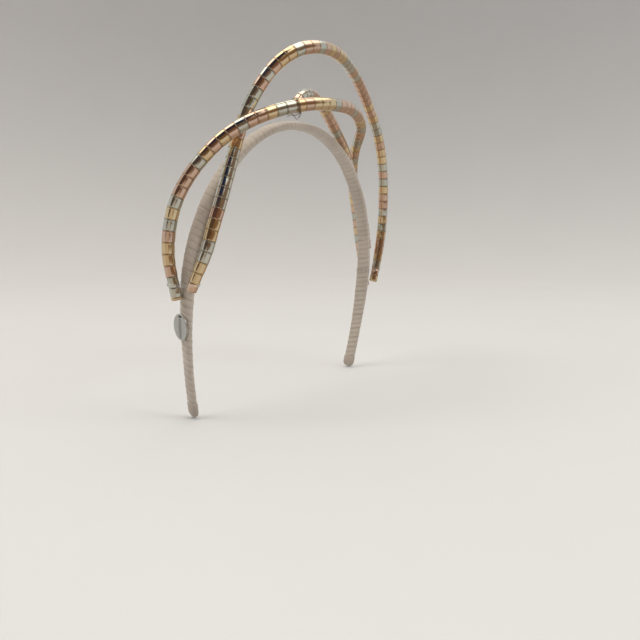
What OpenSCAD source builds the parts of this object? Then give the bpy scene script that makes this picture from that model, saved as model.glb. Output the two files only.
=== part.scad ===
// Fascinator headpiece: three bendable tubes of metal rings on a ribbon-wrapped headband.
// Millimetres. X is left and right (the wearer's right is -X), the face looks along -Y, Z is up.
// The origin is where the inside of the band's crown rests on the head.

/* [Tubes] */
// Outer diameter of a ring
ring_d = 6.0; // [5.6:0.1:6.2]
// Bore of a ring, which turns freely on the core
ring_bore = 4.8; // [4.6:0.1:5.0]
// Gap between two rings
ring_gap = 0.08; // [0.04:0.02:0.3]
// Diameter of the bendable core inside the rings
core_d = 4.2; // [3.6:0.1:4.3]
// Share of its diameter that a tube loses toward its ends
taper_loss = 0.17; // [0:0.01:0.2]
// Length of the closed cap on a tube's end
cap_l = 4.2; // [3:0.1:6]
// Length of the gold rim on the rear loop's right end
rim_l = 1.5; // [1:0.1:1.5]

/* [Band] */
// Width of the band at the crown
band_w = 8.4; // [7:0.1:10]
// Thickness of the band at the crown
band_t = 4.2; // [3.6:0.1:5]
// Share of the crown's width that is left at the tips
tip_w_share = 0.78; // [0.7:0.02:1]
// Share of the crown's thickness that is left at the tips
tip_t_share = 0.72; // [0.6:0.02:1]
// Thickness of the ribbon layer
ribbon_t = 0.5; // [0.3:0.1:0.8]
// Width of the spring strip
strip_w = 4.6; // [3:0.1:5]
// Thickness of the spring strip
strip_t = 0.9; // [0.6:0.1:1.2]
// Rearward lean of the legs
rake = 6; // [0:0.5:10]
// Turn of the legs' outer faces toward the back, behind the ears
leg_turn = 15; // [0:1:20]

/* [Tag] */
// Diameter of the metal tag
tag_d = 12.4; // [10:0.2:14]
// Thickness of the metal tag
tag_t = 0.9; // [0.7:0.1:1.4]
// Height of the tag's centre below the crown
tag_drop = 95.5; // [93:0.5:98]

/* [Ties] */
// Diameter of the clear thread that lashes the tubes to the band
thread_d = 0.3; // [0.3:0.05:0.5]
// Distance between two turns of thread
thread_pitch = 0.45; // [0.4:0.05:0.8]
// Diameter of the steel wire that ties the curl to the rear loop
tie_d = 0.3; // [0.3:0.05:0.5]

/* [Hidden] */
$fn = 32;

silver = "#c9ccc9";
gold = "#d8b36a";
rose = "#c98f74";
cream = "#d9cdbf";
clear = "#e8e6e0";

// Half of the band's centreline, tip to crown: distance from the middle and height.
band_half = [
    [68.5, -140], [72.3, -122], [75, -104], [76.2, -88], [75.8, -72], [73.2, -58], [69, -46],
    [63.5, -35], [56.5, -25.5], [46.5, -15], [36, -7.5], [25, -2.3], [13, 1], [0, 2.1]
];

// Routes of the tubes, from the wearer's right to the wearer's left.
rear_route = [
    [-80.7, 10, -82.8], [-81.6, 11.2, -76], [-82.8, 12.8, -63], [-82, 12, -50], [-79.5, 9.5, -38],
    [-74.5, 5, -26.5], [-67, -1.8, -15], [-58.2, -8.8, -6.5], [-47, -16, 0], [-34, -22, 4.5],
    [-21, -25, 7.3], [-8, -25.5, 8.8], [6, -24, 9.8], [21, -20, 9], [35, -14, 5.8], [46, -6, 2],
    [55, 2, -3], [63.5, 9, -13], [72, 13.5, -27], [79, 15, -44], [82.5, 14.5, -62],
    [82.5, 12, -76], [81.2, 9.4, -87]
];
front_route = [
    [-79.2, 3.2, -78.8], [-77.5, 0.8, -71.5], [-74.5, -2, -62], [-71, -3.5, -50], [-66, -4.3, -37],
    [-60, -3.6, -24], [-55, -3.8, -11], [-51.3, -6.2, 1], [-46.8, -11, 13], [-40.5, -16.5, 23],
    [-32, -21, 29.5], [-21, -23, 33], [-7, -22, 35], [9, -18.5, 35.3], [26, -14, 33],
    [43, -9.5, 27.5], [57.5, -6, 20], [69, -4, 11], [78, -2.3, 0], [85, -0.5, -15],
    [88.5, 1, -33], [88.5, 2, -51], [85, 2.5, -68], [80.2, 3.1, -84]
];
curl_route = [
    [-31.4, -16.4, 3.9], [-28.8, -16.7, 6.4], [-25.2, -16, 9.6], [-20, -14.6, 12.4],
    [-12.5, -12.3, 14.7], [-3.8, -9.2, 15.5], [6, -5.8, 14.9], [18, -2.3, 11.8], [30.5, 0, 4.5],
    [42, 2.5, -2.5], [51.5, 4.5, -11], [61, 6, -22], [69.5, 7, -35], [76.5, 7.5, -49], [80, 7.8, -63]
];

// Finish of each ring in order: S silver, G gold, R rose.
rear_rings = "SRGGRSGSRRRSGRGRSRRGSSGRGGGSRRRSRRGGSRRSSGRSGRRSGGRSRGSRGGRS";
front_rings = "GGSSGGRSSSSSSGRGSSSRSRGGSRRSRGRGGSSSRSRRRRRGRGSSGRGGSRSGRRSGSGRRGSR";
curl_rings = "RSSSRRSRRGRRRSRRGRSRRGRRSGRSRR";

spline_steps = 8;
cap_wall = 1.5;
// Number of rings over which a tube narrows toward each end
taper_rings = 6;
edge_r = 0.8;
core_sides = 8;
thread_sides = 6;
band_sides = 16;
band_step = 8;
tip_round = 3;
tip_angle = 20;
// Exponent of the band's section: 1 is an ellipse, less is squarer
section_power = 0.8;

// ---------- Lines in space ----------

function unit(v) = v / norm(v);

function spline_point(a, b, c, d, t) =
    0.5 * (2 * b + (c - a) * t + (2 * a - 5 * b + 4 * c - d) * t * t + (3 * b - 3 * c + d - a) * t * t * t);

// A smooth line through the route's points.
function spline(p) = let (n = len(p)) [
    for (i = [0 : n - 2], k = [0 : spline_steps - 1])
        spline_point(
            i == 0 ? 2 * p[0] - p[1] : p[i - 1], p[i], p[i + 1],
            i == n - 2 ? 2 * p[n - 1] - p[n - 2] : p[i + 2], k / spline_steps
        ),
    p[n - 1]
];

// Distance along the line at each of its points.
function distances(p) = [
    for (i = 0, s = 0; i < len(p); s = s + norm(p[min(i + 1, len(p) - 1)] - p[i]), i = i + 1) s
];

// The point at distance s along the line.
function point_at(p, dist, s) = [
    for (axis = [0 : 2]) lookup(s, [for (i = [0 : len(p) - 1]) [dist[i], p[i][axis]]])
];

// Joints between rings: from the right cap's mouth to the left cap's mouth.
function joints(route, count, first_cap, last_cap) =
    let (p = spline(route), dist = distances(p), run = dist[len(p) - 1] - first_cap - last_cap)
    [for (i = [0 : count]) point_at(p, dist, first_cap + run * i / count)];

// Direction of the line at its point i, halfway between the neighbouring chords.
function heading(p, i) =
    i == 0 ? unit(p[1] - p[0])
    : i == len(p) - 1 ? unit(p[i] - p[i - 1])
    : unit(unit(p[i + 1] - p[i]) + unit(p[i] - p[i - 1]));

module place(at, along) {
    translate(at) rotate([0, acos(along[2] / norm(along)), atan2(along[1], along[0])]) children();
}

// ---------- Swept solids ----------

function side_faces(loops, n, first) = [
    for (k = [0 : loops - 2], j = [0 : n - 1])
        let (a = first + k * n + j, b = first + k * n + (j + 1) % n)
        [a, a + n, b + n, b]
];

function fan_faces(n, first) = [[for (j = [0 : n - 1]) first + j]];

function back(faces) = [for (f = faces) [for (i = [len(f) - 1 : -1 : 0]) f[i]]];

function flat(lists) = [for (l = lists) for (p = l) p];

function ring_faces(n, outer, inner) = [
    for (j = [0 : n - 1]) [outer + j, outer + (j + 1) % n, inner + (j + 1) % n, inner + j]
];

function triangles(faces) = [
    for (f = faces) for (i = [1 : len(f) - 2]) [f[0], f[i], f[i + 1]]
];

// A solid through a list of loops, each with the same number of points.
module swept_solid(loops) {
    n = len(loops[0]);
    faces = concat(
        side_faces(len(loops), n, 0),
        fan_faces(n, 0),
        back(fan_faces(n, (len(loops) - 1) * n))
    );
    polyhedron(flat(loops), triangles(faces), convexity = 6);
}

// A hollow sleeve between outer and inner loops, open at both ends.
module swept_sleeve(outer, inner) {
    n = len(outer[0]);
    m = len(outer) * n;
    last = m - n;
    faces = concat(
        side_faces(len(outer), n, 0),
        back(side_faces(len(inner), n, m)),
        ring_faces(n, 0, m),
        back(ring_faces(n, last, m + last))
    );
    polyhedron(concat(flat(outer), flat(inner)), triangles(faces), convexity = 6);
}

// A closed hoop through a list of loops.
module swept_hoop(loops) {
    n = len(loops[0]);
    faces = side_faces(len(loops) + 1, n, 0);
    count = len(loops) * n;
    polyhedron(flat(loops), triangles([for (f = faces) [for (i = f) i % count]]), convexity = 6);
}

// Round section of a wire around the point p, across the direction t.
function wire_loop(p, t, d, sides, up = [0.2, 1, 0]) =
    let (a = unit(cross(up, t)), b = cross(t, a))
    [for (j = [0 : sides - 1]) let (w = 360 * j / sides) p + d / 2 * (cos(w) * a + sin(w) * b)];

module wire(p, d, sides) {
    swept_solid([for (i = [0 : len(p) - 1]) wire_loop(p[i], heading(p, i), d, sides)]);
}

// ---------- Band ----------

band_flat = concat(
    [for (q = band_half) [-q[0], 0, q[1]]],
    [for (i = [len(band_half) - 2 : -1 : 0]) [band_half[i][0], 0, band_half[i][1]]]
);
band_fine = spline(band_flat);
band_dist = distances(band_fine);
band_length = band_dist[len(band_dist) - 1];
crown_z = band_half[len(band_half) - 1][1];

function lean(p) = [p[0], (crown_z - p[2]) * tan(rake), p[2]];

function band_point(s) = lean(point_at(band_fine, band_dist, s));

function band_heading(s) =
    unit(band_point(min(s + 1, band_length)) - band_point(max(s - 1, 0)));

// 0 above the temples, rising to 1 behind the ears.
function low_share(z) = let (k = min(max((-z - 55) / 45, 0), 1)) k * k * (3 - 2 * k);

// Outward and rearward directions of the band's section at distance s.
function band_axes(s) =
    let (
        t = band_heading(s),
        across = [0, cos(rake), sin(rake)],
        out = unit(cross(t, across)),
        p = band_point(s),
        turn = leg_turn * low_share(p[2])
    )
    [cos(turn) * out + sin(turn) * across, cos(turn) * across - sin(turn) * out];

function tip_share(s, share) = 1 - (1 - share) * low_share(band_point(s)[2] + 20);

function band_width(s) = band_w * tip_share(s, tip_w_share);

function band_thick(s) = band_t * tip_share(s, tip_t_share);

function signed_power(v) = sign(v) * pow(abs(v), section_power);

// Rounded section of the band, with its four flats slightly full.
function band_loop(s, w, t) =
    let (axes = band_axes(s), p = band_point(s))
    [for (j = [0 : band_sides - 1])
        let (a = 360 * j / band_sides)
        p + axes[1] * w / 2 * signed_power(cos(a)) + axes[0] * t / 2 * signed_power(sin(a))];

// The strip's square-cornered section, with the same number of points as the padding's.
function strip_loop(s, w, t) =
    let (axes = band_axes(s), p = band_point(s))
    [for (j = [0 : band_sides - 1])
        let (a = 360 * j / band_sides, m = max(abs(cos(a)), abs(sin(a))))
        p + axes[1] * w / 2 * cos(a) / m + axes[0] * t / 2 * sin(a) / m];

band_stations = [
    for (i = [0 : floor((band_length - 2 * tip_round) / band_step)])
        tip_round + (band_length - 2 * tip_round) * i / floor((band_length - 2 * tip_round) / band_step)
];

module spring_strip() {
    color("#8d9094")
        swept_solid([for (s = band_stations) strip_loop(s, strip_w, strip_t)]);
}

// The section of the padding, which the ribbon covers.
function padding_loop(s) = band_loop(s, band_width(s) - 2 * ribbon_t, band_thick(s) - 2 * ribbon_t);

module foam_padding() {
    color("#f2efe8")
        swept_sleeve(
            [for (s = band_stations) padding_loop(s)],
            [for (s = band_stations) strip_loop(s, strip_w, strip_t)]
        );
}

module ribbon_wrap() {
    color(cream)
        swept_sleeve(
            [for (s = band_stations) band_loop(s, band_width(s), band_thick(s))],
            [for (s = band_stations) padding_loop(s)]
        );
}

// The ribbon's end, folded over the tip and glued.
module tip_fold(side) {
    mouth = side < 0 ? tip_round : band_length - tip_round;
    color("#b9aa9a")
        swept_solid([
            for (k = side < 0 ? [4 : -1 : 0] : [0 : 4])
                let (a = tip_angle * k, s = mouth + side * tip_round * sin(a))
                band_loop(s, band_width(mouth) * cos(a), band_thick(mouth) * cos(a))
        ]);
}

module right_tip_fold() {
    tip_fold(-1);
}

module left_tip_fold() {
    tip_fold(1);
}

// ---------- Tubes ----------

// Share of the full diameter that the ring i of n has: less toward both ends.
function slim(i, n) =
    let (from_end = min(i, n - 1 - i), k = max(0, 1 - from_end / taper_rings))
    1 - taper_loss * k * k;

end_d = ring_d * (1 - taper_loss);
end_core_d = core_d * (1 - taper_loss);

// One ring between two joints, mitred to meet its neighbours in a bend.
module ring(p, i) {
    chord = p[i + 1] - p[i];
    run = norm(chord);
    share = slim(i, len(p) - 1);
    difference() {
        place(p[i] - chord / run * ring_d / 2, chord) difference() {
            cylinder(h = run + ring_d, d = ring_d * share);
            translate([0, 0, -1]) cylinder(h = run + ring_d + 2, d = ring_bore * share);
        }
        place(p[i] + heading(p, i) * ring_gap / 2, -heading(p, i)) cutter();
        place(p[i + 1] - heading(p, i + 1) * ring_gap / 2, heading(p, i + 1)) cutter();
    }
}

module cutter() {
    translate([-ring_d, -ring_d, 0]) cube([2 * ring_d, 2 * ring_d, ring_d]);
}

module rings(route, finishes, finish, first_cap, last_cap) {
    p = joints(route, len(finishes), first_cap, last_cap);
    for (i = [0 : len(finishes) - 1])
        if (finishes[i] == finish) ring(p, i);
}

// Outline of the rounded edge at a tube's very end.
function rounded_edge() = [
    for (a = [0 : 15 : 90]) [end_d / 2 - edge_r + edge_r * cos(a), edge_r - edge_r * sin(a)]
];

// A closed end: a blind cup with a rounded edge, its mouth at the first ring.
module end_cap(length) {
    mouth = length - ring_gap;
    rotate_extrude() polygon(concat(
        [[0, cap_wall], [end_core_d / 2, cap_wall], [end_core_d / 2, mouth], [end_d / 2, mouth]],
        rounded_edge(),
        [[0, 0]]
    ));
}

module first_end(route, finishes, cap, last_cap) {
    p = joints(route, len(finishes), cap, last_cap);
    way = unit(p[1] - p[0]);
    place(p[0] - cap * way, way) children();
}

module last_end(route, finishes, first_cap, cap) {
    p = joints(route, len(finishes), first_cap, cap);
    n = len(p) - 1;
    way = unit(p[n] - p[n - 1]);
    place(p[n] + cap * way, -way) children();
}

// The bendable core, from the bottom of one cap to the bottom of the other.
module core(route, finishes, first_cap, last_cap) {
    p = joints(route, len(finishes), first_cap, last_cap);
    n = len(p) - 1;
    start = p[0] - (first_cap - cap_wall) * unit(p[1] - p[0]);
    end = p[n] + (last_cap - cap_wall) * unit(p[n] - p[n - 1]);
    line = concat([start], p, [end]);
    color("#6f7276") swept_solid([
        for (i = [0 : n + 2])
            let (share = slim(min(max(i - 1, 0), n - 1), n))
            wire_loop(line[i], heading(line, i), core_d * share, core_sides)
    ]);
}

rear_first = cap_l + rim_l;

module rear_loop_core() {
    core(rear_route, rear_rings, rear_first, cap_l);
}

module rear_loop_silver_rings() {
    color(silver) rings(rear_route, rear_rings, "S", rear_first, cap_l);
}

module rear_loop_gold_rings() {
    color(gold) rings(rear_route, rear_rings, "G", rear_first, cap_l);
}

module rear_loop_rose_rings() {
    color(rose) rings(rear_route, rear_rings, "R", rear_first, cap_l);
}

// A silver sleeve on the rear loop's right end, between the first ring and the gold rim.
module rear_loop_right_cap() {
    color(silver) first_end(rear_route, rear_rings, rear_first, cap_l) translate([0, 0, rim_l])
        difference() {
            cylinder(h = cap_l - ring_gap, d = end_d);
            translate([0, 0, -1]) cylinder(h = cap_l + 2, d = end_core_d);
        }
}

// The gold disc that closes the sleeve.
module rear_loop_gold_rim() {
    color(gold) first_end(rear_route, rear_rings, rear_first, cap_l)
        rotate_extrude() polygon(concat([[0, rim_l], [end_d / 2, rim_l]], rounded_edge(), [[0, 0]]));
}

module rear_loop_left_cap() {
    color(rose) last_end(rear_route, rear_rings, rear_first, cap_l) end_cap(cap_l);
}

module front_loop_core() {
    core(front_route, front_rings, cap_l, cap_l);
}

module front_loop_silver_rings() {
    color(silver) rings(front_route, front_rings, "S", cap_l, cap_l);
}

module front_loop_gold_rings() {
    color(gold) rings(front_route, front_rings, "G", cap_l, cap_l);
}

module front_loop_rose_rings() {
    color(rose) rings(front_route, front_rings, "R", cap_l, cap_l);
}

module front_loop_right_cap() {
    color(rose) first_end(front_route, front_rings, cap_l, cap_l) end_cap(cap_l);
}

module front_loop_left_cap() {
    color(gold) last_end(front_route, front_rings, cap_l, cap_l) end_cap(cap_l);
}

module short_curl_core() {
    core(curl_route, curl_rings, cap_l, cap_l);
}

module short_curl_silver_rings() {
    color(silver) rings(curl_route, curl_rings, "S", cap_l, cap_l);
}

module short_curl_gold_rings() {
    color(gold) rings(curl_route, curl_rings, "G", cap_l, cap_l);
}

module short_curl_rose_rings() {
    color(rose) rings(curl_route, curl_rings, "R", cap_l, cap_l);
}

module short_curl_top_cap() {
    color(rose) first_end(curl_route, curl_rings, cap_l, cap_l) end_cap(cap_l);
}

module short_curl_left_cap() {
    color(rose) last_end(curl_route, curl_rings, cap_l, cap_l) end_cap(cap_l);
}

// ---------- Lashings and tie ----------

// Heights of the topmost turn of each lashing, and how many turns it has
leg_lashing_z = [-75.5, -76];
leg_lashing_turns = 3;
curl_lashing_z = -57.2;
curl_lashing_turns = 3;
// Room between a thread and the tube that it holds
lashing_slack = 0.05;
// Diameter of the tubes where they are lashed, near their narrow ends
lashed_d = 5.4;

function cross_2d(a, b) = a[0] * b[1] - a[1] * b[0];

// The outline that a tight thread takes around a set of points: each one where no other lies outside.
function hull_next(pts, i) =
    [for (j = [0 : len(pts) - 1])
        if (norm(pts[j] - pts[i]) > 0.001
            && min([for (k = pts) cross_2d(pts[j] - pts[i], k - pts[i])]) > -0.0001) j][0];

function hull_walk(pts, first) = [
    for (i = first, go = true; go; go = hull_next(pts, i) != first, i = hull_next(pts, i)) pts[i]
];

function lowest(pts) =
    let (m = min([for (p = pts) p[1] + 0.001 * p[0]]))
    [for (i = [0 : len(pts) - 1]) if (pts[i][1] + 0.001 * pts[i][0] <= m) i][0];

function disc_points(c, r) = [for (a = [0 : 24 : 359]) c + r * [cos(a), sin(a)]];

// The point where a tube's line crosses the height z.
function crossing(route, z, from_left) =
    let (
        p = spline(route),
        n = len(p),
        hits = [for (i = [0 : n - 2]) if ((p[i][2] - z) * (p[i + 1][2] - z) <= 0) i],
        i = from_left ? hits[len(hits) - 1] : hits[0],
        t = (z - p[i][2]) / (p[i + 1][2] - p[i][2])
    )
    p[i] + (p[i + 1] - p[i]) * t;

function band_at(z, side) =
    let (
        hits = [for (s = [0 : 1 : band_length / 2]) if (band_point(s)[2] < z) s],
        s = hits[len(hits) - 1]
    )
    side < 0 ? s : band_length - s;

// Level hoops of thread around the band's leg and the tubes that lie on it.
module lashing(heights, side, routes) {
    for (z = heights) {
        s = band_at(z, side);
        tubes = [for (route = routes) let (c = crossing(route, z, side > 0)) [c[0], c[1]]];
        pts = concat(
            [for (q = band_loop(s, band_width(s) + thread_d, band_thick(s) + thread_d)) [q[0], q[1]]],
            flat([for (c = tubes) disc_points(c, (lashed_d + thread_d) / 2 + lashing_slack)])
        );
        outline = hull_walk(pts, lowest(pts));
        n = len(outline);
        swept_hoop([
            for (i = [0 : n - 1])
                let (
                    p = [outline[i][0], outline[i][1], z],
                    q = outline[(i + 1) % n] - outline[(i + n - 1) % n]
                )
                wire_loop(p, unit([q[0], q[1], 0]), thread_d, thread_sides, [0, 0, 1])
        ]);
    }
}

function turn_heights(top, turns) = [for (k = [0 : turns - 1]) top - k * thread_pitch];

module right_lashing() {
    color(clear) lashing(turn_heights(leg_lashing_z[0], leg_lashing_turns), -1, [rear_route, front_route]);
}

module left_lashing() {
    color(clear) lashing(turn_heights(leg_lashing_z[1], leg_lashing_turns), 1, [rear_route, front_route]);
}

module curl_lashing() {
    color(clear) lashing(turn_heights(curl_lashing_z, curl_lashing_turns), 1, [curl_route]);
}

// Hoops of steel wire around the rear loop and the curl's end, with two bent tails.
tie_centres = [[-34.3, -22, 4.5], [-30.6, -16.5, 4.7]];
tie_along = unit([13, -6, 4]);
tie_pitch = 0.5;
tie_slack = 0.3;
tie_middle = (tie_centres[0] + tie_centres[1]) / 2;
long_tail = [
    [-34.7, -24.3, 1.9], [-35.8, -25, 0.9], [-37.5, -24.3, -2.6], [-38.5, -23.3, -0.9],
    [-39.1, -22.3, -0.2], [-40.3, -20.9, -1.1]
];
short_tail = [[-34.7, -24.3, 1.9], [-35.2, -24.9, 0.4], [-36.6, -24.7, -1.5]];

module crossing_tie() {
    color("#8d9094") {
        for (k = [-1, 1]) tie_hoop(k * tie_pitch / 2);
        wire(long_tail, tie_d, thread_sides);
        wire(short_tail, tie_d, thread_sides);
    }
}

// An oval hoop that passes outside both tubes.
module tie_hoop(shift) {
    wide = unit(tie_centres[0] - tie_centres[1]);
    tall = unit(cross(tie_along, wide));
    reach = norm(tie_centres[0] - tie_centres[1]) / 2;
    r = (ring_d + tie_d) / 2 + tie_slack;
    along = cross(wide, tall);
    loops = [
        for (a = [-90 : 20 : 90]) tie_middle + wide * (reach + r * cos(a)) + tall * r * sin(a),
        for (a = [90 : 20 : 270]) tie_middle + wide * (-reach + r * cos(a)) + tall * r * sin(a)
    ];
    n = len(loops);
    swept_hoop([
        for (i = [0 : n - 1])
            wire_loop(
                loops[i] + along * shift, unit(loops[(i + 1) % n] - loops[(i + n - 1) % n]),
                tie_d, thread_sides, along
            )
    ]);
}

// ---------- Tag ----------

tag_s = band_at(-tag_drop, -1);
// How far the tag's centre sits behind the middle of the band's leg
tag_shift = 1.1;
tag_axes = band_axes(tag_s);
tag_base = band_point(tag_s) + tag_axes[0] * band_thick(tag_s) / 2 + tag_axes[1] * tag_shift;
rim_w = 0.5;
rim_rise = 0.15;
face_t = tag_t - rim_rise;
// Distance of the two stitch holes from the tag's centre, and from the line between them
stitch_r = 4.9;
stitch_spread = 0.9;
hole_d = 0.9;
thread_r = 0.3;
mark_depth = 0.2;
mark_pitch = 1.3;
mark_l = 4.2;
mark_w = 0.5;
mark_slant = 70;
mark_loss = 0.5;
mark_shift = 0.7;

// Local frame: Z out of the tag, X along the band toward the crown.
module on_tag() {
    x = band_heading(tag_s);
    z = tag_axes[0];
    y = cross(z, x);
    multmatrix([
        [x[0], y[0], z[0], tag_base[0]],
        [x[1], y[1], z[1], tag_base[1]],
        [x[2], y[2], z[2], tag_base[2]]
    ]) children();
}

// A row of slanted bars across the tag, longest in the middle.
module marks(height) {
    for (k = [-3 : 3])
        translate([k * mark_pitch - mark_shift, 0, 0]) rotate(mark_slant)
            cube([mark_l - mark_loss * abs(k), mark_w, height], true);
}

module tag_disc() {
    color("#b4b6b3") on_tag() difference() {
        union() {
            cylinder(h = face_t, d = tag_d);
            difference() {
                cylinder(h = tag_t, d = tag_d);
                cylinder(h = 2 * tag_t, d = tag_d - 2 * rim_w);
            }
        }
        translate([0, 0, face_t]) marks(2 * mark_depth);
        for (y = [-stitch_spread, stitch_spread])
            translate([stitch_r, y, -tag_t]) cylinder(h = 3 * tag_t, d = hole_d);
    }
}

module tag_inlay() {
    color("#2b2b2d") on_tag() translate([0, 0, face_t - mark_depth / 2]) marks(mark_depth);
}

// Thread through the tag's two holes: two posts in the ribbon, joined by an arch over the face.
module tag_stitches() {
    color("#6b625a") on_tag() translate([stitch_r, 0, 0]) {
        for (y = [-stitch_spread, stitch_spread]) translate([0, y, 0]) cylinder(h = tag_t, r = thread_r);
        translate([0, 0, tag_t]) rotate([90, 0, 90]) rotate_extrude(angle = 180)
            translate([stitch_spread, 0]) circle(r = thread_r);
    }
}

spring_strip();
foam_padding();
ribbon_wrap();
right_tip_fold();
left_tip_fold();
rear_loop_core();
rear_loop_silver_rings();
rear_loop_gold_rings();
rear_loop_rose_rings();
rear_loop_right_cap();
rear_loop_gold_rim();
rear_loop_left_cap();
front_loop_core();
front_loop_silver_rings();
front_loop_gold_rings();
front_loop_rose_rings();
front_loop_right_cap();
front_loop_left_cap();
short_curl_core();
short_curl_silver_rings();
short_curl_gold_rings();
short_curl_rose_rings();
short_curl_top_cap();
short_curl_left_cap();
right_lashing();
left_lashing();
curl_lashing();
crossing_tie();
tag_disc();
tag_inlay();
tag_stitches();
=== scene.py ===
"""The looks of the fascinator headpiece: ringed metal tubes looped over a ribbon-wrapped band."""

import math

import bpy
import numpy as np
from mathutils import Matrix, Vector


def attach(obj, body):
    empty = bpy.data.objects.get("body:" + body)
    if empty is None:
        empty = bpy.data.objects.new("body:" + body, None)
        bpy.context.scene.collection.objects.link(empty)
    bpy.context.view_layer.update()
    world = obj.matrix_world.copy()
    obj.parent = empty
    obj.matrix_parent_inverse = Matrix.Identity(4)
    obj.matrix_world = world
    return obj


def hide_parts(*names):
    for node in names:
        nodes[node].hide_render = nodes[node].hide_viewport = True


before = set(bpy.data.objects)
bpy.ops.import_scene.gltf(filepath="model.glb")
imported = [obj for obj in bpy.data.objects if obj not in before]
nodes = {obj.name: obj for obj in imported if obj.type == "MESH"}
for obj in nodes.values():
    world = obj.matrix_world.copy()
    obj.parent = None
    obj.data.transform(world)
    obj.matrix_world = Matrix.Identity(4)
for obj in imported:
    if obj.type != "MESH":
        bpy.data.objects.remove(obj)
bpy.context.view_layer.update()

MM = 0.001  # the lengths below are in millimetres, and every mesh is written in metres

# ---------- Camera ----------

CAMERA_AT = (-261.7, -193.9, -54.3)
CAMERA_AZIMUTH = -55
CAMERA_ELEVATION = 8
CAMERA_LENS = 33.75


def add_camera():
    data = bpy.data.cameras.new("camera")
    data.lens = CAMERA_LENS
    data.clip_start = 0.01
    camera = bpy.data.objects.new("camera", data)
    camera.location = Vector(CAMERA_AT) * MM
    camera.rotation_euler = (math.radians(90 - CAMERA_ELEVATION), 0, math.radians(CAMERA_AZIMUTH))
    bpy.context.scene.collection.objects.link(camera)
    bpy.context.scene.camera = camera


add_camera()

# ---------- Dimensions that the CAD model sets ----------

RING_R = 3.0
RING_BORE_R = 2.4
RING_GAP = 0.08
TAPER_LOSS = 0.17
TAPER_RINGS = 6
CAP_L = 4.2
RIM_L = 1.5
BAND_W = 8.4
BAND_T = 4.2
TIP_W_SHARE = 0.78
TIP_T_SHARE = 0.72
RIBBON_T = 0.5
RAKE = math.radians(6)
LEG_TURN = math.radians(15)
TIP_ROUND = 3.0
TURN_START = 55  # how far under the origin the legs begin to turn back
TURN_RUN = 45  # and over what height they have turned fully
SLIM_START = 20  # how much further down the band grows slim than it turns
SECTION_POWER = 0.8
TAG_DROP = 95.5
TAG_R = 6.2
TAG_SHIFT = 1.1
MARK_PITCH = 1.3
MARK_L = 4.2
MARK_W = 0.5
MARK_SLANT = 70
MARK_LOSS = 0.5
MARK_SHIFT = 0.7
MARK_REACH = 3  # how many marks stand on each side of the middle one
STITCH_R = 4.9
STITCH_SPREAD = 0.9

# Half of the band's centreline, tip to crown: distance from the middle and height.
BAND_HALF = [
    (68.5, -140), (72.3, -122), (75, -104), (76.2, -88), (75.8, -72), (73.2, -58), (69, -46),
    (63.5, -35), (56.5, -25.5), (46.5, -15), (36, -7.5), (25, -2.3), (13, 1), (0, 2.1),
]

# Routes of the tubes, from the wearer's right to the wearer's left, as the CAD model has them.
REAR_ROUTE = [
    (-80.7, 10, -82.8), (-81.6, 11.2, -76), (-82.8, 12.8, -63), (-82, 12, -50), (-79.5, 9.5, -38),
    (-74.5, 5, -26.5), (-67, -1.8, -15), (-58.2, -8.8, -6.5), (-47, -16, 0), (-34, -22, 4.5),
    (-21, -25, 7.3), (-8, -25.5, 8.8), (6, -24, 9.8), (21, -20, 9), (35, -14, 5.8), (46, -6, 2),
    (55, 2, -3), (63.5, 9, -13), (72, 13.5, -27), (79, 15, -44), (82.5, 14.5, -62),
    (82.5, 12, -76), (81.2, 9.4, -87),
]
FRONT_ROUTE = [
    (-79.2, 3.2, -78.8), (-77.5, 0.8, -71.5), (-74.5, -2, -62), (-71, -3.5, -50), (-66, -4.3, -37),
    (-60, -3.6, -24), (-55, -3.8, -11), (-51.3, -6.2, 1), (-46.8, -11, 13), (-40.5, -16.5, 23),
    (-32, -21, 29.5), (-21, -23, 33), (-7, -22, 35), (9, -18.5, 35.3), (26, -14, 33),
    (43, -9.5, 27.5), (57.5, -6, 20), (69, -4, 11), (78, -2.3, 0), (85, -0.5, -15),
    (88.5, 1, -33), (88.5, 2, -51), (85, 2.5, -68), (80.2, 3.1, -84),
]
CURL_ROUTE = [
    (-31.4, -16.4, 3.9), (-28.8, -16.7, 6.4), (-25.2, -16, 9.6), (-20, -14.6, 12.4),
    (-12.5, -12.3, 14.7), (-3.8, -9.2, 15.5), (6, -5.8, 14.9), (18, -2.3, 11.8), (30.5, 0, 4.5),
    (42, 2.5, -2.5), (51.5, 4.5, -11), (61, 6, -22), (69.5, 7, -35), (76.5, 7.5, -49), (80, 7.8, -63),
]

# Finish of each ring in order: S silver, G gold, R rose.
REAR_RINGS = "SRGGRSGSRRRSGRGRSRRGSSGRGGGSRRRSRRGGSRRSSGRSGRRSGGRSRGSRGGRS"
FRONT_RINGS = "GGSSGGRSSSSSSGRGSSSRSRGGSRRSRGRGGSSSRSRRRRRGRGSSGRGGSRSGRRSGSGRRGSR"
CURL_RINGS = "RSSSRRSRRGRRRSRRGRSRRGRRSGRSRR"
FINISH_NAMES = {"S": "silver", "G": "gold", "R": "rose"}

# ---------- Lines in space ----------


def unit(v):
    return v / np.linalg.norm(v, axis=-1, keepdims=True)


def spline(points, steps=8):
    """A smooth line through the points, the same one that the CAD model uses."""
    p = np.array(points, float)
    p = np.vstack([2 * p[0] - p[1], p, 2 * p[-1] - p[-2]])
    line = []
    for a, b, c, d in zip(p[:-3], p[1:-2], p[2:-1], p[3:]):
        for t in np.arange(steps) / steps:
            line.append(0.5 * (2 * b + (c - a) * t + (2 * a - 5 * b + 4 * c - d) * t**2
                               + (3 * b - 3 * c + d - a) * t**3))
    line.append(p[-2])
    return np.array(line)


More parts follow.
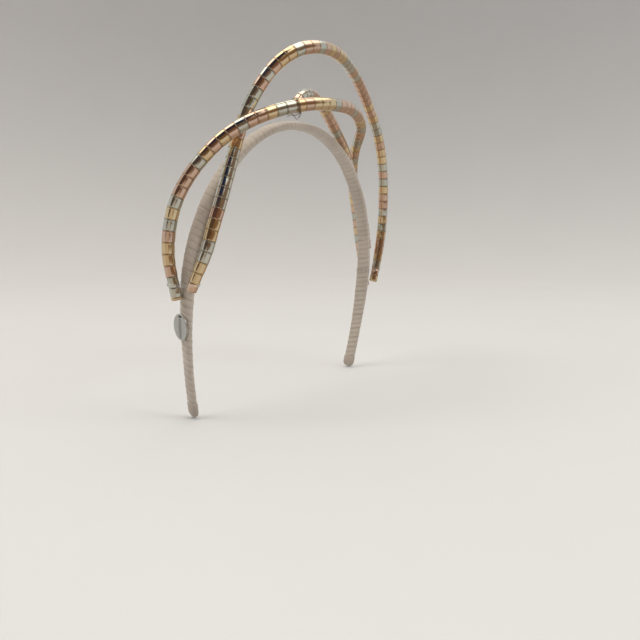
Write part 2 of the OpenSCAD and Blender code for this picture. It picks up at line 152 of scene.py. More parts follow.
class Line:
    """A line that gives its point at a distance along it."""

    def __init__(self, points):
        self.points = points
        steps = np.linalg.norm(np.diff(points, axis=0), axis=1)
        self.at = np.concatenate([[0], np.cumsum(steps)])
        self.length = self.at[-1]

    def point(self, s):
        return np.stack([np.interp(s, self.at, self.points[:, k]) for k in range(3)], axis=-1)


def headings(p):
    """Direction of a line at each point, halfway between its neighbouring chords."""
    chords = unit(np.diff(p, axis=0))
    middle = unit(chords[1:] + chords[:-1])
    return np.vstack([chords[:1], middle, chords[-1:]])


def across(direction, hint=(0.2, 1, 0)):
    """Two unit vectors at right angles to the direction and to each other."""
    a = unit(np.cross(hint, direction))
    return a, np.cross(direction, a)


# ---------- Meshes ----------


def new_piece(name, verts, faces, material, replaces=(), attributes=(), sharp=35):
    """A mesh piece from millimetre points, riding on the one body."""
    mesh = bpy.data.meshes.new(name)
    mesh.from_pydata((np.asarray(verts) * MM).tolist(), [], faces)
    mesh.validate()
    for label, values in attributes:
        layer = mesh.attributes.new(label, "FLOAT", "POINT")
        layer.data.foreach_set("value", np.asarray(values, np.float32))
    mesh.shade_smooth()
    mesh.set_sharp_from_angle(angle=math.radians(sharp))
    mesh.materials.append(material)
    piece = bpy.data.objects.new(name, mesh)
    bpy.context.scene.collection.objects.link(piece)
    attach(piece, "root")
    if replaces:
        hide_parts(*replaces)
    return piece


def circle(sides):
    """Angles evenly spaced around a circle."""
    return 2 * np.pi * np.arange(sides) / sides


def round_way(a, b, sides):
    """Unit vectors all the way round, in the plane of a and b."""
    angle = circle(sides)
    return np.cos(angle)[:, None] * a + np.sin(angle)[:, None] * b


def tube_faces(rows, sides, closed=False):
    """Quads between rows of points, each row a loop. A closed tube joins its last row to its first."""
    faces = []
    for k in range(rows if closed else rows - 1):
        a = k * sides
        b = ((k + 1) % rows) * sides
        for j in range(sides):
            n = (j + 1) % sides
            faces.append((a + j, a + n, b + n, b + j))
    return faces


def solid_faces(rows, sides):
    """The quads of a tube and a flat face over each of its ends."""
    last = (rows - 1) * sides
    return tube_faces(rows, sides) + [tuple(range(sides))[::-1], tuple(range(last, last + sides))]


class Shape:
    """Gathers the points, faces and values at points of a piece made of one or more solids."""

    def __init__(self):
        self.verts = []
        self.faces = []
        self.values = {}

    def add(self, verts, faces, **values):
        first = len(self.verts)
        self.verts.extend(verts)
        self.faces.extend(tuple(first + i for i in f) for f in faces)
        for label, value in values.items():
            self.values.setdefault(label, []).extend(np.broadcast_to(value, len(verts)))

    def piece(self, name, material, slot, replaces=(), sharp=35):
        return new_piece(name, self.verts, self.faces, material, replaces,
                         self.values.items(), sharp)


# ---------- Materials ----------


class Nodes:
    """A material's node tree, with short calls to add and join nodes."""

    def __init__(self, name):
        self.material = bpy.data.materials.new(name)
        self.material.use_nodes = True
        self.tree = self.material.node_tree
        self.shader = self.tree.nodes["Principled BSDF"]

    def node(self, kind, settings=(), **inputs):
        made = self.tree.nodes.new(kind)
        for key, value in dict(settings).items():
            setattr(made, key, value)
        for key, value in inputs.items():
            self.put(made.inputs[key.replace("_", " ")], value)
        return made

    def put(self, socket, value):
        if isinstance(value, bpy.types.NodeSocket):
            self.tree.links.new(value, socket)
        else:
            socket.default_value = value

    def maths(self, operation, a, b=0.0, clamp=False):
        made = self.tree.nodes.new("ShaderNodeMath")
        made.operation = operation
        made.use_clamp = clamp
        self.put(made.inputs[0], a)
        self.put(made.inputs[1], b)
        return made.outputs[0]

    def mix(self, factor, a, b):
        made = self.tree.nodes.new("ShaderNodeMix")
        made.data_type = "RGBA"
        self.put(made.inputs["Factor"], factor)
        self.put(made.inputs["A"], a)
        self.put(made.inputs["B"], b)
        return made.outputs["Result"]

    def ramp(self, factor, low, high):
        made = self.node("ShaderNodeMapRange", Value=factor)
        made.inputs["From Min"].default_value = low
        made.inputs["From Max"].default_value = high
        return made.outputs["Result"]

    def place(self, scale=(1, 1, 1)):
        where = self.tree.nodes.new("ShaderNodeTexCoord")
        mapping = self.node("ShaderNodeMapping", Vector=where.outputs["Object"], Scale=scale)
        return mapping.outputs["Vector"]

    def noise(self, scale, detail=3, where=None):
        made = self.node("ShaderNodeTexNoise", Vector=where or self.place(), Scale=scale, Detail=detail)
        return made.outputs["Fac"]

    def attribute(self, name):
        return self.node("ShaderNodeAttribute", {"attribute_name": name}).outputs["Fac"]

    def bump(self, height, strength, distance, under=None):
        made = self.node("ShaderNodeBump", Height=height, Strength=strength, Distance=distance)
        if under is not None:
            self.put(made.inputs["Normal"], under)
        return made.outputs["Normal"]

    def set(self, **inputs):
        for key, value in inputs.items():
            self.put(self.shader.inputs[key.replace("_", " ")], value)
        return self.material


def colour(r, g, b):
    return (r, g, b, 1)


def shade(base, share):
    """A darker shade of a colour."""
    return colour(*[share * c for c in base[:3]])


def plated_metal(name, base, warm, tarnish_and_shade_colour, roughness):
    """Polished plate: each ring a shade apart, fine scratches, and dull tarnish toward its edges,
    darkened there also by painted shade where the rings meet.
    """
    n = Nodes(name)
    tone = n.attribute("tone")
    edge = n.attribute("edge")
    patches = n.noise(420, 4)
    scratches = n.noise(900, 6, n.place((1, 1, 6)))
    body = n.mix(n.ramp(tone, 0.0, 1.0), base, warm)
    # Darker toward each ring's joints: tarnish, and painted shade where the rings meet; the same mask
    # also dulls the roughness.
    edge_tarnish_and_shade = n.maths("MULTIPLY", n.maths("POWER", edge, 16.0), 0.4)
    stains_and_shade = n.maths("ADD", edge_tarnish_and_shade, n.maths("MULTIPLY", n.ramp(patches, 0.55, 0.8), 0.12), clamp=True)
    skin = n.mix(stains_and_shade, body, tarnish_and_shade_colour)
    shine = n.maths("ADD", roughness, n.maths("MULTIPLY", n.ramp(scratches, 0.45, 0.75), 0.10))
    dull = n.maths("ADD", shine, n.maths("MULTIPLY", edge_tarnish_and_shade, 0.22), clamp=True)
    dents = n.bump(n.noise(260, 2), 0.10, 0.0004)
    fine = n.bump(scratches, 0.06, 0.00006, dents)
    return n.set(Base_Color=skin, Metallic=1.0, Roughness=dull, Normal=fine)


# Each finish: its colour on one ring and on another, the colour of its tarnish and of the painted shade
# at its joints, and its roughness.
METALS = {
    "S": plated_metal("silver plate", colour(0.71, 0.70, 0.62), colour(0.60, 0.62, 0.55),
                      colour(0.26, 0.25, 0.20), 0.10),
    "G": plated_metal("gold plate", colour(0.84, 0.69, 0.45), colour(0.78, 0.60, 0.37),
                      colour(0.36, 0.24, 0.10), 0.10),
    "R": plated_metal("rose plate", colour(0.80, 0.60, 0.47), colour(0.72, 0.52, 0.40),
                      colour(0.34, 0.20, 0.12), 0.11),
}
RIB_PITCH = 0.42


def ribbon_cloth(name, light, dark):
    """Ribbon: fine cross ribs, a soft sheen and shade where a turn tucks under the next."""
    n = Nodes(name)
    tuck = n.attribute("tuck")
    along = n.attribute("along")
    patches = n.noise(60, 3)
    fibres = n.noise(2600, 3)
    ribs = n.maths("SINE", n.maths("MULTIPLY", along, 2 * math.pi / RIB_PITCH))
    ribbed = n.maths("ADD", n.maths("MULTIPLY", ribs, 0.5), fibres)
    body = n.mix(n.ramp(patches, 0.35, 0.65), light, n.mix(0.35, light, dark))
    shaded = n.mix(n.maths("MULTIPLY", n.maths("POWER", tuck, 5.0), 0.65), body, dark)
    speckled = n.mix(n.maths("MULTIPLY", n.ramp(fibres, 0.5, 0.8), 0.25), shaded, dark)
    rough = n.maths("ADD", 0.72, n.maths("MULTIPLY", fibres, 0.2))
    weave = n.bump(ribbed, 0.35, 0.00008)
    return n.set(Base_Color=speckled, Roughness=rough, Normal=weave,
                 Sheen_Weight=0.25, Sheen_Roughness=0.5)


def rough_plastic(name, base, roughness, grain, depth):
    """A dull surface with a fine grain, for foam, sheath, enamel and thread."""
    n = Nodes(name)
    fine = n.noise(grain, 4)
    blotches = n.maths("MULTIPLY", n.ramp(fine, 0.35, 0.7), 0.3)
    skin = n.mix(blotches, base, shade(base, 0.6))
    rough = n.maths("ADD", roughness, n.maths("MULTIPLY", fine, 0.15))
    return n.set(Base_Color=skin, Roughness=rough, Normal=n.bump(fine, 0.3, depth))


def brushed_metal(name, base, roughness):
    """Plain metal with fine drawn lines."""
    n = Nodes(name)
    lines = n.noise(500, 5, n.place((1, 1, 12)))
    skin = n.mix(n.ramp(lines, 0.3, 0.7), base, shade(base, 0.72))
    rough = n.maths("ADD", roughness, n.maths("MULTIPLY", lines, 0.2))
    return n.set(Base_Color=skin, Metallic=1.0, Roughness=rough, Normal=n.bump(lines, 0.12, 0.00005))


def clear_thread(name):
    """Transparent thread, a little uneven."""
    n = Nodes(name)
    waver = n.noise(1500, 3)
    rough = n.maths("ADD", 0.12, n.maths("MULTIPLY", waver, 0.15))
    return n.set(Base_Color=colour(0.95, 0.94, 0.92), Roughness=rough, Transmission_Weight=1.0, IOR=1.25,
                 Normal=n.bump(waver, 0.2, 0.00003))


RIBBON = ribbon_cloth("wrapped ribbon", colour(0.50, 0.44, 0.375), colour(0.27, 0.225, 0.185))
# The folded tips use a darker copy of the ribbon: painted shade.
SHADED_RIBBON_END = ribbon_cloth("ribbon end in painted shade", colour(0.43, 0.37, 0.315), colour(0.23, 0.19, 0.155))
FOAM = rough_plastic("foam", colour(0.86, 0.83, 0.76), 0.85, 2200, 0.0002)
CORE = rough_plastic("core sheath", colour(0.05, 0.05, 0.055), 0.55, 1400, 0.00006)
SPRING = brushed_metal("spring steel", colour(0.52, 0.53, 0.55), 0.28)
TIE_WIRE = brushed_metal("tie wire", colour(0.20, 0.18, 0.16), 0.35)
TAG_METAL = brushed_metal("tag steel", colour(0.70, 0.71, 0.68), 0.26)
ENAMEL = rough_plastic("dark enamel", colour(0.02, 0.02, 0.022), 0.4, 2500, 0.00003)
TAG_THREAD = rough_plastic("tag thread", colour(0.16, 0.14, 0.12), 0.7, 5000, 0.00008)
CLEAR = clear_thread("clear thread")

# ---------- Ringed tubes ----------

RING_SIDES = 32
BARREL = 0.05  # how much fuller a ring is at its middle than at its ends
RING_SWAY = 0.035  # how far off the centreline a ring's ends may sit
# Outline of a ring's two ends: distance in from its joint, and how far below the ring's surface.
FIRST_EDGE = [(0.0, 0.14), (0.02, 0.06), (0.06, 0.02), (0.15, 0.0)]
LAST_EDGE = [(0.50, -0.01), (0.32, -0.03), (0.14, -0.03), (0.04, 0.01), (0.0, 0.10)]
BODY_STEPS = 6
BODY_START = 0.03  # where the ring's plain wall begins and how much of its length it takes up
BODY_SHARE = 0.86


def tube_joints(route, count, first_cap, last_cap):
    """The points where a tube's rings meet, evenly spaced between its two ends."""
    line = Line(spline(route))
    run = line.length - first_cap - last_cap
    return line.point(first_cap + run * np.arange(count + 1) / count)


def slim(i, n):
    """Share of the full diameter that the ring i of n has: less toward both ends."""
    k = max(0.0, 1 - min(i, n - 1 - i) / TAPER_RINGS)
    return 1 - TAPER_LOSS * k * k


def ring_solid(p0, p1, n0, n1, radius, rng):
    """One ring between two joints, mitred to its neighbours, with a rounded edge and a rolled one."""
    chord = unit(p1 - p0)
    a, b = across(chord)
    spokes = round_way(a, b, RING_SIDES)
    sway = rng.uniform(-RING_SWAY, RING_SWAY, 2) @ np.array([a, b])
    rows, edges = [], []

    def row(share, inset, depth, from_last):
        swell = BARREL * (2 * share - 1) ** 2
        base = (radius - swell - depth) * spokes
        start = (RING_GAP / 2 - base @ n0) / (chord @ n0)
        end = ((p1 - p0) @ n1 - RING_GAP / 2 - base @ n1) / (chord @ n1)
        s = end - inset if from_last else start + inset + share * (end - start - inset)
        tilt = sway * (2 * share - 1)
        rows.append(p0 + base + s[:, None] * chord + tilt)
        edges.append(abs(2 * share - 1))

    bore_depth = radius * (1 - RING_BORE_R / RING_R)
    row(0.0, 0.0, bore_depth, False)
    for inset, depth in FIRST_EDGE:
        row(0.0, inset, depth, False)
    for k in range(1, BODY_STEPS):
        row(k / BODY_STEPS * BODY_SHARE + BODY_START, 0.0, 0.0, False)
    for inset, depth in LAST_EDGE:
        row(1.0, inset, depth, True)
    row(1.0, 0.0, bore_depth, True)
    faces = [f[::-1] for f in tube_faces(len(rows), RING_SIDES, closed=True)]
    return np.concatenate(rows), faces, np.repeat(edges, RING_SIDES)


def add_tube(name, route, finishes, first_cap, last_cap, seed):
    """All the rings of one tube, as one piece for each finish."""
    rng = np.random.default_rng(seed)
    p = tube_joints(route, len(finishes), first_cap, last_cap)
    way = headings(p)
    shapes = {finish: Shape() for finish in FINISH_NAMES}
    for i, finish in enumerate(finishes):
        radius = RING_R * slim(i, len(finishes))
        verts, faces, edge = ring_solid(p[i], p[i + 1], way[i], way[i + 1], radius, rng)
        shapes[finish].add(verts, faces, edge=edge, tone=rng.uniform(0, 1))
    for finish, shape in shapes.items():
        label = f"{name}_{FINISH_NAMES[finish]}_rings"
        slot = FINISH_NAMES[finish] + "_metal"
        shape.piece(label + "_polished", METALS[finish], slot, [label], sharp=60)
    return p


def lathe(base, way, outline, sides=RING_SIDES):
    """A solid of revolution. The outline holds distances along the way and radii."""
    spokes = round_way(*across(way), sides)
    rows = [base + way * s + r * spokes for s, r in outline]
    return np.concatenate(rows), solid_faces(len(rows), sides)


END_R = RING_R * (1 - TAPER_LOSS)
FACE_DROP = 0.14  # how far the domed face of an end falls from its middle to its edge
EDGE_ROUND = 0.8


def mouth(length, wall=0.3):
    """The last part of an end's outline: the rolled edge that faces the rings, and its wall."""
    return [(length - 0.5, END_R + 0.01), (length - 0.3, END_R + 0.04),
            (length - 0.12, END_R - 0.02), (length - RING_GAP, END_R - wall)]


def dome(length):
    """Outline of a closed end: a softly domed face, a rounded edge and a straight wall to the mouth."""
    flat_r = END_R - EDGE_ROUND
    outline = [(FACE_DROP * share**2, flat_r * share) for share in (0.12, 0.4, 0.7, 1.0)]
    for angle in (15, 30, 45, 60, 75, 90):
        a = math.radians(angle)
        drop = FACE_DROP + (EDGE_ROUND - FACE_DROP) * (1 - math.cos(a))
        outline.append((drop, flat_r + EDGE_ROUND * math.sin(a)))
    return outline + mouth(length)


def add_end(name, node, finish, tip, way, outline, tone):
    """A turned piece that closes the end of a tube."""
    shape = Shape()
    verts, faces = lathe(tip, way, outline)
    shape.add(verts, faces, edge=0.2, tone=tone)
    return shape.piece(name, METALS[finish], FINISH_NAMES[finish] + "_metal", [node], sharp=40)


def end_places(p, first_cap, last_cap):
    """The very ends of a tube and the ways from them to its rings."""
    first_way = unit(p[1] - p[0])
    last_way = unit(p[-2] - p[-1])
    return p[0] - first_cap * first_way, first_way, p[-1] - last_cap * last_way, last_way


REAR_FIRST = CAP_L + RIM_L
rear = add_tube("rear_loop", REAR_ROUTE, REAR_RINGS, REAR_FIRST, CAP_L, seed=3)
front = add_tube("front_loop", FRONT_ROUTE, FRONT_RINGS, CAP_L, CAP_L, seed=5)
curl = add_tube("short_curl", CURL_ROUTE, CURL_RINGS, CAP_L, CAP_L, seed=8)

RIM_PROUD = 0.06  # how far the gold rim's wall stands over the sleeve
SLEEVE = [(RIM_L, END_R - 0.5), (RIM_L + 0.04, END_R - 0.12), (RIM_L + 0.2, END_R - 0.01),
          (RIM_L + 2, END_R)] + mouth(REAR_FIRST, wall=0.4)
RIM = [(s, r + (RIM_PROUD if 0.5 < s < 1.45 else 0)) for s, r in dome(RIM_L)]

tip, way, far_tip, far_way = end_places(rear, REAR_FIRST, CAP_L)
add_end("rear_loop_right_sleeve", "rear_loop_right_cap", "S", tip, way, SLEEVE, 0.2)
add_end("rear_loop_right_rim", "rear_loop_gold_rim", "G", tip, way, RIM, 0.6)
add_end("rear_loop_left_end", "rear_loop_left_cap", "R", far_tip, far_way, dome(CAP_L), 0.5)
tip, way, far_tip, far_way = end_places(front, CAP_L, CAP_L)
add_end("front_loop_right_end", "front_loop_right_cap", "R", tip, way, dome(CAP_L), 0.1)
add_end("front_loop_left_end", "front_loop_left_cap", "G", far_tip, far_way, dome(CAP_L), 0.4)
tip, way, far_tip, far_way = end_places(curl, CAP_L, CAP_L)
add_end("short_curl_top_end", "short_curl_top_cap", "R", tip, way, dome(CAP_L), 0.3)
add_end("short_curl_left_end", "short_curl_left_cap", "R", far_tip, far_way, dome(CAP_L), 0.7)

# ---------- Band ----------

BAND_SIDES = 40
TURN_PITCH = 3.1  # distance between two turns of the ribbon
TURN_STEP = 0.20  # how far a turn's edge stands over the turn before it
TURN_SLANT = 1.1  # how far a turn runs on along the band from one side to the other
TURN_SWAY = 0.25  # how unevenly the turns slant
# Where a turn's section is taken, as a share of the pitch, and its height as a share of the step.
TURN_OUTLINE = [(0.0, 0.0), (0.10, 0.10), (0.35, 0.42), (0.65, 0.78), (0.88, 1.0), (0.96, 0.93),
                (0.995, 0.35)]
INNER_ROWS = 120
HEADING_STEP = 3  # how far before and after a point its heading is taken

half = [(-x, 0, z) for x, z in BAND_HALF] + [(x, 0, z) for x, z in BAND_HALF[-2::-1]]
band_line = Line(spline(half))
crown_z = BAND_HALF[-1][1]


def band_point(s):
    """Point on the band's centreline, whose legs lean back by the rake."""
    p = band_line.point(s)
    return np.stack([p[..., 0], (crown_z - p[..., 2]) * math.tan(RAKE), p[..., 2]], axis=-1)


def low_share(z):
    """0 above the temples, rising to 1 behind the ears."""
    k = np.clip((-z - TURN_START) / TURN_RUN, 0, 1)
    return k * k * (3 - 2 * k)


def band_axes(s):
    """Outward and rearward directions of the band's section."""
    after = band_point(np.minimum(s + HEADING_STEP, band_line.length))
    before = band_point(np.maximum(s - HEADING_STEP, 0))
    heading = unit(after - before)
    rearward = np.array([0, math.cos(RAKE), math.sin(RAKE)])
    outward = unit(np.cross(heading, rearward))
    turn = LEG_TURN * low_share(band_point(s)[..., 2])[..., None]
    return (np.cos(turn) * outward + np.sin(turn) * rearward,
            np.cos(turn) * rearward - np.sin(turn) * outward)


def band_size(s):
    """Width and thickness of the band's section."""
    low = low_share(band_point(s)[..., 2] + SLIM_START)
    return BAND_W * (1 - (1 - TIP_W_SHARE) * low), BAND_T * (1 - (1 - TIP_T_SHARE) * low)


def full(v):
    """A sine or cosine made fuller, so that a circle becomes a rounded oblong."""
    return np.sign(v) * np.abs(v) ** SECTION_POWER


def band_surface(s, angle, grow):
    """Points on the band's rounded section at distance s and at an angle around it."""
    outward, rearward = band_axes(s)
    w, t = band_size(s)
    reach_w = (w / 2 + grow) * full(np.cos(angle))
    reach_t = (t / 2 + grow) * full(np.sin(angle))
    return band_point(s) + rearward * reach_w[..., None] + outward * reach_t[..., None]


def add_ribbon():
    """The ribbon: slanted turns, each lapping over the one before it, around a plain inner wall."""
    angle = circle(BAND_SIDES)
    start, stop = TIP_ROUND, band_line.length - TIP_ROUND
    rng = np.random.default_rng(21)
    turns = int((stop - start) / TURN_PITCH) + 3
    rows, tuck, along = [], [], []
    for turn in range(-1, turns):
        slant = TURN_SLANT + rng.uniform(-TURN_SWAY, TURN_SWAY)
        lean = rng.uniform(-TURN_SWAY, TURN_SWAY)
        height = TURN_STEP * rng.uniform(0.75, 1.2)
        for share, lift in TURN_OUTLINE:
            s = start + (turn + share) * TURN_PITCH + slant * np.cos(angle + lean)
            s = np.clip(s, start, stop)
            rows.append(band_surface(s, angle, grow=height * lift - 0.5 * TURN_STEP))
            tuck.append(np.full(BAND_SIDES, 1 - lift))
            along.append(s)
    # At the two tips the rows pile up on each other, and only the first of a pile is kept.
    keep = [k for k, s in enumerate(along) if k == 0 or np.all(s != along[k - 1])]
    rows = [rows[k] for k in keep]
    tuck = [tuck[k] for k in keep]
    along = [along[k] for k in keep]
    for s in np.linspace(stop, start, INNER_ROWS):
        rows.append(band_surface(np.full(BAND_SIDES, s), angle, grow=-RIBBON_T))
        tuck.append(np.ones(BAND_SIDES))
        along.append(np.full(BAND_SIDES, s))
    shape = Shape()
    faces = tube_faces(len(rows), BAND_SIDES, closed=True)
    shape.add(np.concatenate(rows), faces, tuck=np.concatenate(tuck), along=np.concatenate(along))
    ribbon = shape.piece("ribbon_turns", RIBBON, "ribbon", ["ribbon_wrap"], sharp=70)


# Outline of a tip's fold up the leg: reach past the ribbon's end, height over it, and shade.
FOLD_LAP = [(-4.2, -0.45, 1.0), (-4.2, 0.10, 0.9), (-4.0, 0.28, 0.2), (-2.0, 0.26, 0.0)]
FOLD_PROUD = 0.24
FOLD_REACH = 0.95  # share of the tip's round that the fold takes


def add_tip_fold(name, node, side):
    """The ribbon's end, folded round the tip of the band and lapped a little up its sides."""
    angle = circle(BAND_SIDES)
    start = np.array(TIP_ROUND if side < 0 else band_line.length - TIP_ROUND)
    w, t = band_size(start)
    outward, rearward = band_axes(start)
    base = band_point(start)
    onward = unit(base - band_point(start - side * HEADING_STEP))
    rows, tuck, along = [], [], []

    def row(reach, scale, grow, fold):
        loop = (rearward * ((w / 2 * scale + grow) * full(np.cos(angle)))[:, None]
                + outward * ((t / 2 * scale + grow) * full(np.sin(angle)))[:, None])
        rows.append(base + onward * reach + loop)
        tuck.append(np.full(BAND_SIDES, fold))
        along.append(np.full(BAND_SIDES, start + side * reach))

    for reach, grow, fold in FOLD_LAP:
        row(reach, 1.0, grow, fold)
    for a in (0, 15, 30, 45, 58, 70, 79, 85):
        k = math.radians(a)
        row(TIP_ROUND * FOLD_REACH * math.sin(k), math.cos(k), FOLD_PROUD, 0.6 if a > 80 else 0.1)
    faces = solid_faces(len(rows), BAND_SIDES)
    if side < 0:
        faces = [f[::-1] for f in faces]
    shape = Shape()
    shape.add(np.concatenate(rows), faces, tuck=np.concatenate(tuck), along=np.concatenate(along))
    shape.piece(name, SHADED_RIBBON_END, "ribbon_end", [node], sharp=50)


add_ribbon()
add_tip_fold("right_tip_cloth", "right_tip_fold", -1)
add_tip_fold("left_tip_cloth", "left_tip_fold", 1)

# ---------- Tag ----------


def band_distance(z):
    """Distance along the band to the height z on the wearer's right leg."""
    s = np.arange(0, band_line.length / 2, 0.25)
    return float(s[np.searchsorted(band_point(s)[:, 2], z)])


tag_s = np.array(band_distance(-TAG_DROP))
tag_out = band_axes(tag_s)[0]
tag_up = unit(band_point(tag_s + HEADING_STEP) - band_point(tag_s - HEADING_STEP))
tag_side = np.cross(tag_out, tag_up)
tag_base = band_point(tag_s) + tag_out * band_size(tag_s)[1] / 2 + band_axes(tag_s)[1] * TAG_SHIFT
TAG_FACE = 0.75  # height of the tag's face, inside its raised rim
MARK_SIDES = 16
# Outline of a mark: height over the tag's back, and share of its full size.
MARK_OUTLINE = [(0.60, 1.0), (0.765, 1.0), (0.80, 0.86), (0.81, 0.5)]
# The stitches: how high each one arches over the face, and how far it is from the middle of the two.
STITCHES = [(0.42, -0.12), (0.36, 0.16)]
STITCH_THICKNESS = 0.2


def on_tag(points):
    """Tag coordinates (up the leg, sideways, out of the face) to the model's."""
    q = np.asarray(points, float)
    return tag_base + q[:, :1] * tag_up + q[:, 1:2] * tag_side + q[:, 2:3] * tag_out


def add_tag():
    """A thin disc with a rounded edge, a raised rim and a face that is hardly crowned."""
    outline = [(0.0, 0.3), (0.0, 3.0), (0.0, TAG_R - 0.3), (0.06, TAG_R - 0.12), (0.18, TAG_R - 0.02),
               (0.4, TAG_R), (0.66, TAG_R - 0.02), (0.80, TAG_R - 0.12), (0.87, TAG_R - 0.25),
               (0.89, TAG_R - 0.38), (0.86, TAG_R - 0.54), (0.78, TAG_R - 0.65),
               (TAG_FACE, TAG_R - 0.78), (TAG_FACE, 4.2), (TAG_FACE + 0.01, 2.2), (TAG_FACE + 0.01, 0.3)]
    verts, faces = lathe(tag_base, tag_out, outline, sides=72)
    shape = Shape()
    shape.add(verts, faces)
    shape.piece("tag_plate", TAG_METAL, "tag_metal", ["tag_disc"], sharp=30)


def add_marks():
    """A row of slanted enamelled bars, longest in the middle."""
    shape = Shape()
    slant = math.radians(MARK_SLANT)
    ways = np.array([[math.cos(slant), math.sin(slant)], [-math.sin(slant), math.cos(slant)]])
    angle = circle(MARK_SIDES)
    for k in range(-MARK_REACH, MARK_REACH + 1):
        reach = np.array([MARK_L - MARK_LOSS * abs(k), MARK_W]) / 2
        rim = np.stack([full(np.cos(angle)) * reach[0], full(np.sin(angle)) * reach[1]], axis=1) @ ways
        rows = []
        for height, share in MARK_OUTLINE:
            level = np.full(MARK_SIDES, height)
            x = k * MARK_PITCH - MARK_SHIFT + rim[:, 0] * share
            rows.append(on_tag(np.stack([x, rim[:, 1] * share, level], axis=1)))
        shape.add(np.concatenate(rows), solid_faces(len(rows), MARK_SIDES))
    shape.piece("tag_marks", ENAMEL, "tag_inlay", ["tag_inlay"], sharp=40)


def frames_along(path):
    """Two directions across a path at each of its points, carried along without a twist."""
    frames = []
    way = headings(path)
    a, _ = across(way[0], hint=(0.3, 0.2, 1))
    for d in way:
        a = unit(a - d * (a @ d))
        frames.append((a, np.cross(d, a)))
    return frames


def strand(path, radius, sides=8):
    """A round strand along a path, closed at both ends."""
    rows = [p + radius * round_way(a, b, sides) for p, (a, b) in zip(path, frames_along(path))]
    return np.concatenate(rows), solid_faces(len(rows), sides)


def twisted(shape, path, radius, plies=2, pitch=0.9):
    """Plies twisted around a path, which lie half a radius off it and touch at its middle."""
    frames = frames_along(path)
    for ply in range(plies):
        turn = 2 * np.pi * (Line(path).at / pitch + ply / plies)
        offset = [math.cos(t) * a + math.sin(t) * b for t, (a, b) in zip(turn, frames)]
        shape.add(*strand(path + 0.5 * radius * np.array(offset), 0.55 * radius))


def add_stitches():
    """Two stitches of twisted thread through the tag, near its upper edge."""
    shape = Shape()
    for lift, shift in STITCHES:
        x = STITCH_R + shift
        turn = np.linspace(0, np.pi, 25)
        arch = [(x, STITCH_SPREAD * math.cos(a), TAG_FACE + lift * math.sin(a)) for a in turn]
        rise = [(x, STITCH_SPREAD, z) for z in (0.1, 0.4)]
        fall = [(x, -STITCH_SPREAD, z) for z in (0.4, 0.1)]
        twisted(shape, on_tag(rise + arch + fall), STITCH_THICKNESS)
    shape.piece("tag_thread", TAG_THREAD, "tag_thread", ["tag_stitches"], sharp=60)


add_tag()
add_marks()
add_stitches()

# ---------- CAD pieces that keep their own shape ----------


def dress(node, material):
    nodes[node].data.materials.clear()
    nodes[node].data.materials.append(material)


for label in ("right_lashing", "left_lashing", "curl_lashing"):
    dress(label, CLEAR)
dress("crossing_tie", TIE_WIRE)
for label in ("rear_loop_core", "front_loop_core", "short_curl_core"):
    dress(label, CORE)
dress("spring_strip", SPRING)
dress("foam_padding", FOAM)

# ---------- Floor, light and surroundings ----------

FLOOR_Z = -140.5  # just under the band's tips
# The surroundings are larger, and these are in metres.
WALL_R = 1.7
WALL_TURN = 0.85
DOME_R = 6.0
LIGHTS_AIM = (0, 0, -0.05)
ROOM = (0.58, 0.565, 0.54)


def add_floor():
    """A pale round floor that sweeps up into a pale wall on every side."""
    outline = [(0.0, 0.02), (0.0, 0.3), (0.0, WALL_R - WALL_TURN)]
    for a in np.linspace(0, np.pi / 2, 17)[1:]:
        outline.append((WALL_TURN * (1 - math.cos(a)), WALL_R - WALL_TURN * (1 - math.sin(a))))
    verts, faces = lathe(np.zeros(3), np.array([0.0, 0.0, 1.0]), outline, sides=96)
    faces.pop()  # the top stays open
    mesh = bpy.data.meshes.new("floor")
    mesh.from_pydata(verts.tolist(), [], faces)
    mesh.shade_smooth()
    floor = bpy.data.objects.new("floor", mesh)
    floor.location.z = FLOOR_Z * MM
    n = Nodes("floor")
    grain = n.noise(9, 5)
    pale, shaded = colour(0.575, 0.575, 0.58), colour(0.565, 0.565, 0.57)
    n.set(Base_Color=n.mix(n.ramp(grain, 0.3, 0.7), pale, shaded), Roughness=0.9)
    mesh.materials.append(n.material)
    floor.visible_glossy = False  # so the metal mirrors the room around it
    bpy.context.scene.collection.objects.link(floor)


def add_dome():
    """A plain shell that only the camera sees, so every view has the same pale background."""
    bpy.ops.mesh.primitive_uv_sphere_add(segments=48, ring_count=24, radius=DOME_R)
    dome = bpy.context.object
    dome.name = "dome"
    for sight in ("diffuse", "glossy", "transmission", "volume_scatter", "shadow"):
        setattr(dome, "visible_" + sight, False)
    n = Nodes("dome")
    n.set(Base_Color=colour(0, 0, 0), Roughness=1.0,
          Emission_Color=colour(*ROOM), Emission_Strength=1.0)
    dome.data.materials.append(n.material)


def add_light(name, at, size, power, tint):
    """A soft square light."""
    data = bpy.data.lights.new(name, "AREA")
    data.shape = "SQUARE"
    data.size = size
    data.energy = power
    data.color = tint
    light = bpy.data.objects.new(name, data)
    light.location = Vector(at)
    light.rotation_euler = (Vector(LIGHTS_AIM) - Vector(at)).to_track_quat("-Z", "Y").to_euler()
    light.visible_glossy = False  # the patches of the room give the metal its highlights
    bpy.context.scene.collection.objects.link(light)


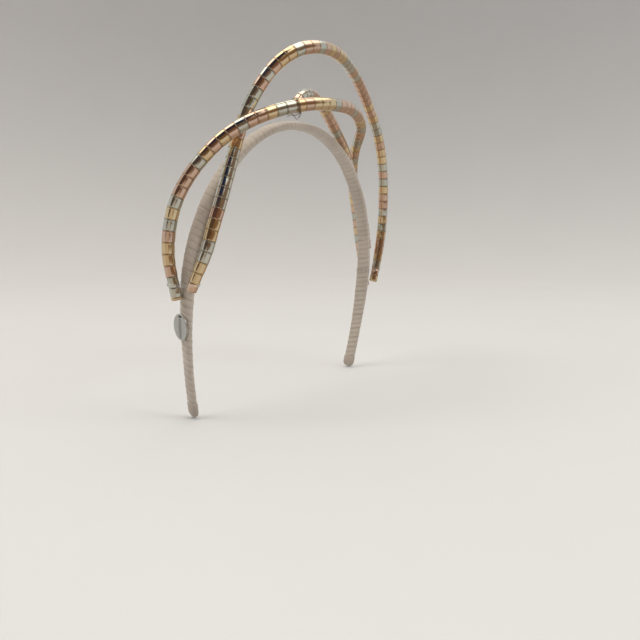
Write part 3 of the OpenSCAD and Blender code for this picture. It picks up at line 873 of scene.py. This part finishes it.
# What the metal mirrors beside the plain room: the way to each patch, the cosines of the angles
# from it at which the patch begins and is full, and its colour. A later patch covers an earlier one.
PATCHES = [
    ((0.0, 0.0, -1.0), 0.10, 0.60, (0.60, 0.53, 0.46)),
    ((0.10, -0.20, -0.97), 0.62, 0.90, (0.32, 0.25, 0.19)),
    ((0.90, 0.00, -0.40), 0.75, 0.92, (0.36, 0.30, 0.24)),
    ((0.0, 0.0, 1.0), 0.64, 0.80, (2.0, 1.88, 1.68)),
    ((-0.55, -0.80, 0.24), 0.91, 0.97, (0.20, 0.12, 0.07)),
    ((-0.10, -0.96, 0.27), 0.91, 0.97, (0.20, 0.12, 0.07)),
    ((0.35, -0.90, 0.27), 0.91, 0.97, (0.22, 0.14, 0.09)),
    ((-0.78, -0.20, 0.59), 0.73, 0.87, (0.095, 0.06, 0.045)),
    ((-0.52, -0.15, 0.84), 0.90, 0.97, (0.015, 0.025, 0.06)),
    ((-0.84, -0.37, -0.40), 0.76, 0.86, (0.52, 0.45, 0.37)),
]


def add_world():
    """A pale room with darker and brighter patches, which the metal mirrors."""
    world = bpy.data.worlds.new("room")
    world.use_nodes = True
    tree = world.node_tree
    tree.nodes.clear()
    out = tree.nodes.new("ShaderNodeOutputWorld")
    back = tree.nodes.new("ShaderNodeBackground")
    where = tree.nodes.new("ShaderNodeTexCoord")
    room = tree.nodes.new("ShaderNodeRGB")
    room.outputs[0].default_value = colour(*ROOM)
    seen = room.outputs[0]
    for toward, first, last, tint in PATCHES:
        near = tree.nodes.new("ShaderNodeVectorMath")
        near.operation = "DOT_PRODUCT"
        near.inputs[1].default_value = Vector(toward).normalized()
        tree.links.new(where.outputs["Generated"], near.inputs[0])
        share = tree.nodes.new("ShaderNodeMapRange")
        share.interpolation_type = "SMOOTHSTEP"
        share.inputs["From Min"].default_value = first
        share.inputs["From Max"].default_value = last
        tree.links.new(near.outputs["Value"], share.inputs["Value"])
        blend = tree.nodes.new("ShaderNodeMix")
        blend.data_type = "RGBA"
        tree.links.new(share.outputs["Result"], blend.inputs["Factor"])
        tree.links.new(seen, blend.inputs["A"])
        blend.inputs["B"].default_value = colour(*tint)
        seen = blend.outputs["Result"]
    tree.links.new(seen, back.inputs["Color"])
    tree.links.new(back.outputs["Background"], out.inputs["Surface"])
    bpy.context.scene.world = world


add_floor()
add_dome()
add_world()
add_light("key", (-0.9, 0.5, 1.2), 0.9, 9.5, (1.0, 0.97, 0.93))
add_light("fill", (0.3, -1.3, 0.9), 0.8, 7.5, (0.88, 0.94, 1.0))
bpy.context.scene.view_settings.view_transform = "Standard"
